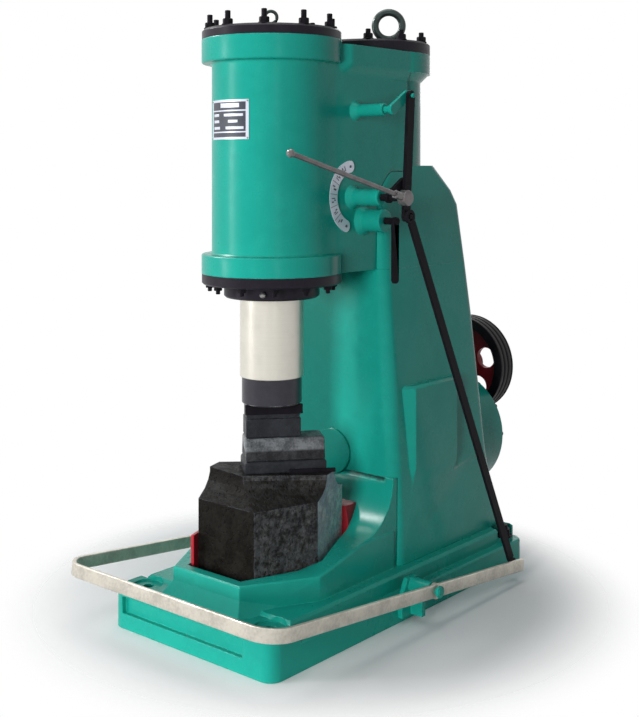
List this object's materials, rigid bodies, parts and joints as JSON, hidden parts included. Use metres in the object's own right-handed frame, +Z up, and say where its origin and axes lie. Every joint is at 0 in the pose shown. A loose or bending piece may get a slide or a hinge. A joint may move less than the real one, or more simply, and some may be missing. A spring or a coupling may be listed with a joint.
{
  "type": "air forging hammer",
  "caption": "Self-contained air forging hammer: C-shaped cast frame with two cylinders, ram over an anvil in its own pocket, hand lever, foot treadle and belt drive.",
  "frame": {"origin": "on the ground under the ram axis, at the centre of the anvil's foot", "axes": "+Z up, -Y towards the operator, +X towards the side with the hand lever"},
  "size_m": [1.0355, 1.6423, 1.965],
  "materials": {
    "green_paint": "gloss enamel on cast iron",
    "black_cover": "dark satin",
    "black_casting": "rough black casting",
    "bright_steel": "ground bright",
    "grey_steel": "plain machined",
    "dark_steel": "blackened",
    "zinc_bar": "dull zinc",
    "red_paint": "red enamel",
    "plate_metal": "satin",
    "motor_paint": "green enamel",
    "belt_rubber": "matt"
  },
  "bodies": {
    "frame": {"base_casting": "green_paint", "column_casting": "green_paint", "cylinder_housing": "green_paint", "working_cylinder": "green_paint", "compression_cylinder": "green_paint", "valve_chest": "green_paint", "front_cover": "black_cover", "rear_cover": "black_cover", "bottom_cover": "black_cover", "front_cover_studs": "dark_steel", "rear_cover_studs": "dark_steel", "bottom_cover_nuts": "dark_steel", "front_eye_bolt": "grey_steel", "lifting_eye": "grey_steel", "gland_plug": "bright_steel", "throat_cover": "green_paint", "nameplate": "plate_metal", "scale_plate": "plate_metal", "anvil_block": "black_casting", "anvil_pad": "black_casting", "pad_key": "dark_steel", "lower_die": "black_casting", "packing_wedge_left": "red_paint", "packing_wedge_right": "red_paint", "gear_case": "green_paint", "shaft_housing": "green_paint", "motor_bracket": "green_paint", "motor": "motor_paint", "drive_belts": "belt_rubber", "treadle_bracket_left": "green_paint", "treadle_bracket_right": "green_paint", "anchor_nuts": "dark_steel"},
    "ram": {"ram": "bright_steel", "upper_die": "black_casting", "upper_die_key": "dark_steel"},
    "treadle": {"treadle": "zinc_bar"},
    "lever": {"control_lever": "grey_steel", "control_crank": "grey_steel"},
    "link": {"link_bar": "dark_steel"},
    "upper_crank": {"upper_crank": "green_paint"},
    "pull_rod": {"pull_rod": "dark_steel"},
    "idle_handle": {"idle_valve_handle": "dark_steel"},
    "drive_pulley": {"pulley_rim": "dark_steel", "pulley_web": "red_paint"},
    "motor_pulley": {"motor_pulley": "dark_steel"}
  },
  "joints": [
    {"name": "ram_slide", "type": "slide", "parent": "frame", "child": "ram", "axis": [0, 0, 1], "range_m": [0, 0.24]},
    {"name": "treadle_pivot", "type": "hinge", "parent": "frame", "child": "treadle", "pos_m": [0, 0.268, 0.11], "axis": [1, 0, 0], "range_deg": [0, 5.2], "stiffness_Nm_per_rad": 420, "springref_deg": -17.19},
    {"name": "lever_spindle", "type": "hinge", "parent": "frame", "child": "lever", "pos_m": [0.3, 0.176, 1.32], "axis": [1, 0, 0], "range_deg": [0, 30]},
    {"name": "link_pin", "type": "hinge", "parent": "lever", "child": "link", "pos_m": [0.344, 0.249, 1.365], "axis": [1, 0, 0], "range_deg": [-30, 0]},
    {"name": "upper_spindle", "type": "hinge", "parent": "frame", "child": "upper_crank", "pos_m": [0.3, 0.194, 1.593], "axis": [1, 0, 0], "range_deg": [0, 30]},
    {"name": "rod_pin", "type": "hinge", "parent": "treadle", "child": "pull_rod", "pos_m": [0.409, 0.768, 0.05833], "axis": [1, 0, 0], "range_deg": [-4, 0]},
    {"name": "idle_spindle", "type": "hinge", "parent": "frame", "child": "idle_handle", "pos_m": [0.3, 0.232, 1.245], "axis": [1, 0, 0], "range_deg": [0, 80]},
    {"name": "pulley_shaft", "type": "hinge", "parent": "frame", "child": "drive_pulley", "pos_m": [0, 1.112, 0.658], "axis": [0, 1, 0], "continuous": true},
    {"name": "motor_shaft", "type": "hinge", "parent": "frame", "child": "motor_pulley", "pos_m": [-0.4, 1.112, 0.324], "axis": [0, 1, 0], "continuous": true}
  ],
  "couplings": [
    {"joint": "lever_spindle", "follows": "treadle_pivot", "ratio": 5.6503},
    {"joint": "link_pin", "follows": "treadle_pivot", "ratio": -5.6503},
    {"joint": "upper_spindle", "follows": "treadle_pivot", "ratio": 5.6503},
    {"joint": "rod_pin", "follows": "treadle_pivot", "ratio": -0.68544},
    {"joint": "motor_shaft", "follows": "pulley_shaft", "ratio": 3.3273}
  ]
}
